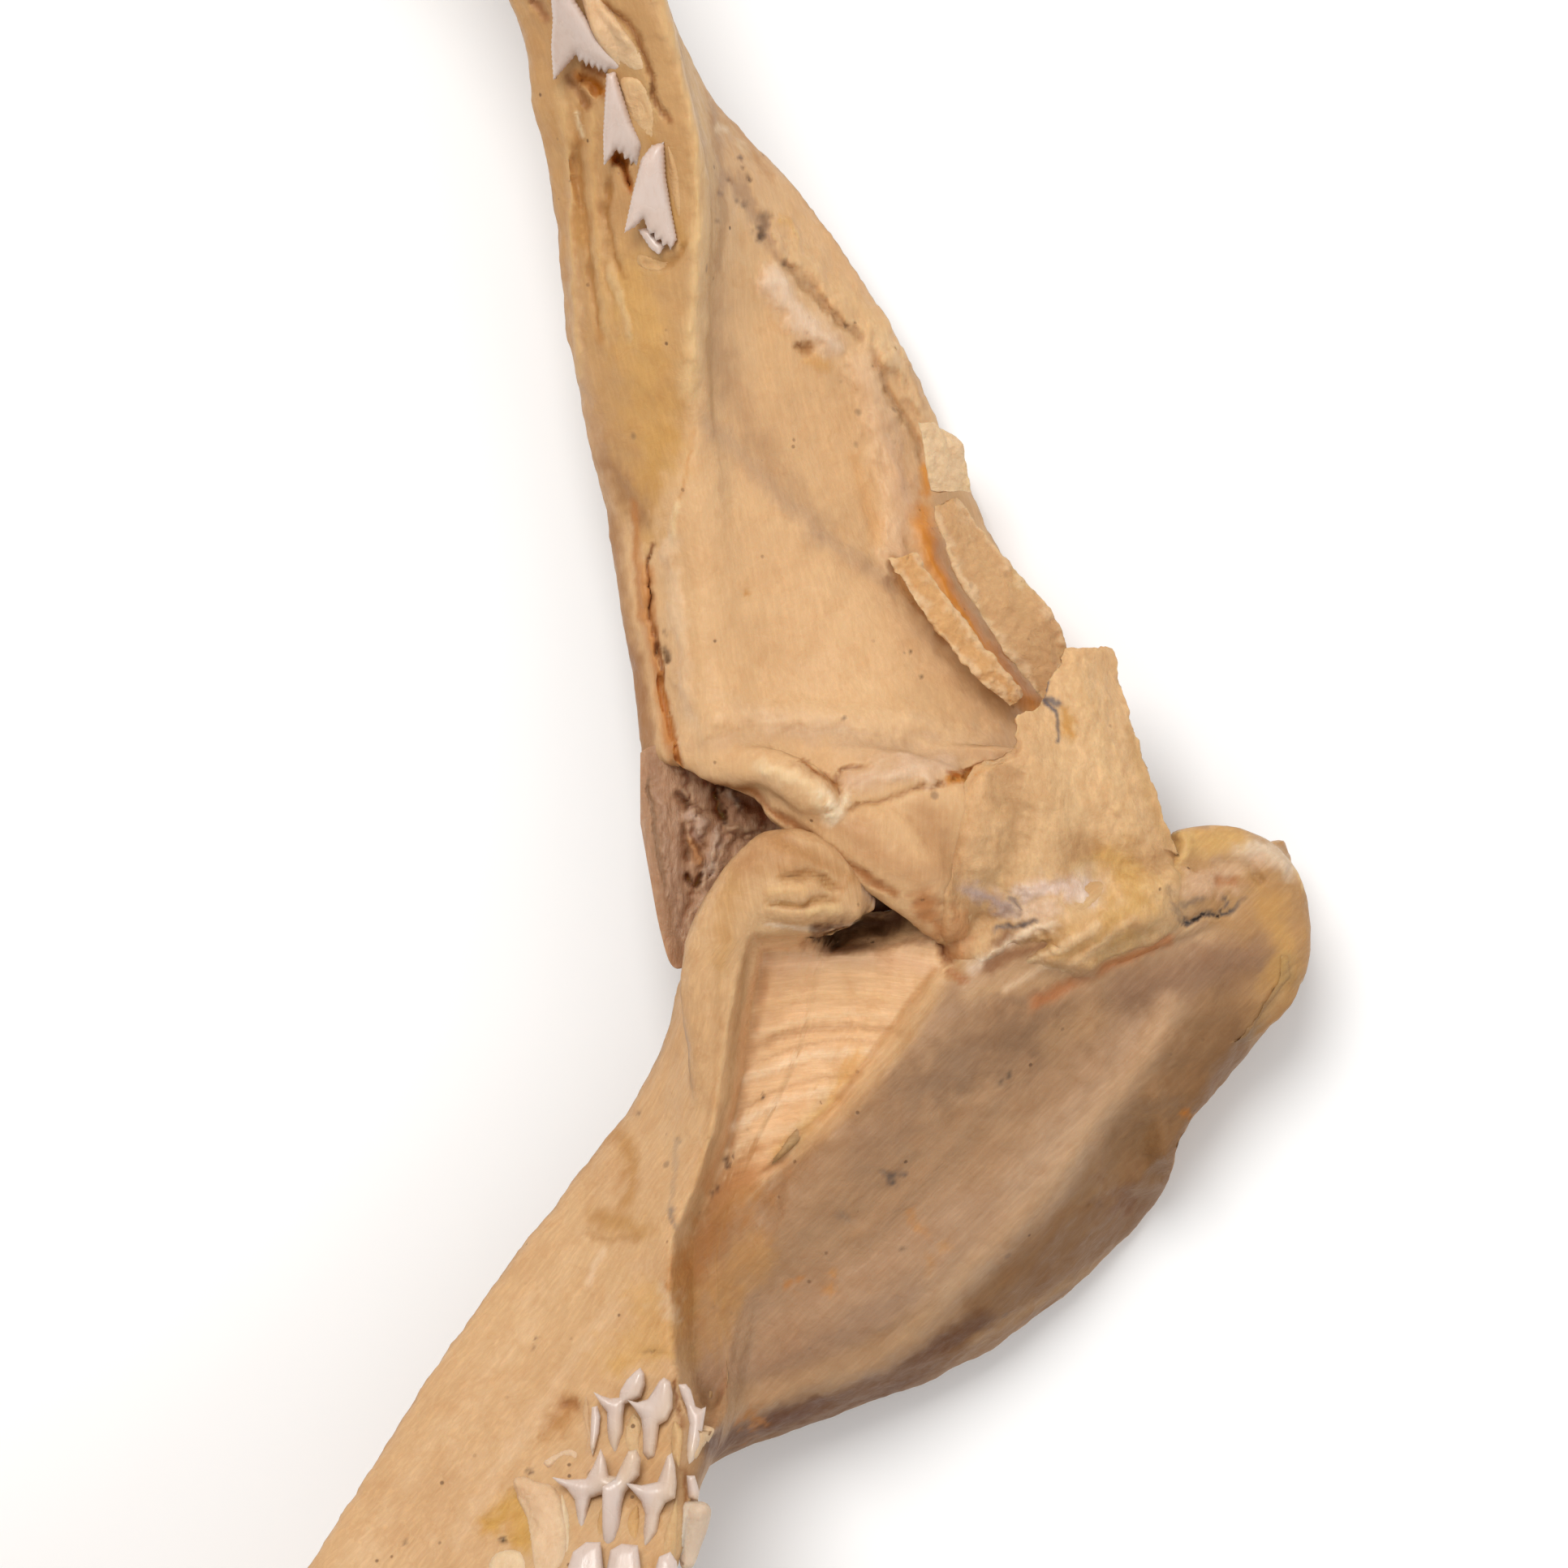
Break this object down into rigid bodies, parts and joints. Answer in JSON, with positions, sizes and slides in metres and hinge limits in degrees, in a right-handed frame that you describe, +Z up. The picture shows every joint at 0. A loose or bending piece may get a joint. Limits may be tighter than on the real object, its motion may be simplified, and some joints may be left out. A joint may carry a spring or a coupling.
{
  "type": "shark jaw",
  "caption": "Dried jaws of a requiem shark with the mouth wide open, teeth in place, lying on the backs of the wings.",
  "frame": {"origin": "middle of the bounding box in X and Y, on the floor that the backs of the wings rest on", "axes": "+X toward the shark's left side, +Y from the lower jaw toward the upper jaw, +Z up, out of the open mouth"},
  "size_m": [0.2942, 0.2856, 0.066],
  "materials": {
    "cartilage": "dried, satin and slightly translucent",
    "symphysis": "dried, matte",
    "dried_skin": "pitted, part glossy",
    "ligament": "dried, matte",
    "teeth": "glossy enamel"
  },
  "bodies": {
    "root": {"upper_jaw_left": "cartilage", "upper_jaw_right": "cartilage", "lower_jaw_left": "cartilage", "lower_jaw_right": "cartilage", "upper_symphysis": "symphysis", "lower_symphysis": "symphysis", "mouth_corner_left": "dried_skin", "mouth_corner_right": "dried_skin", "joint_ligament_left": "ligament", "joint_ligament_right": "ligament"}
  },
  "joints": []
}
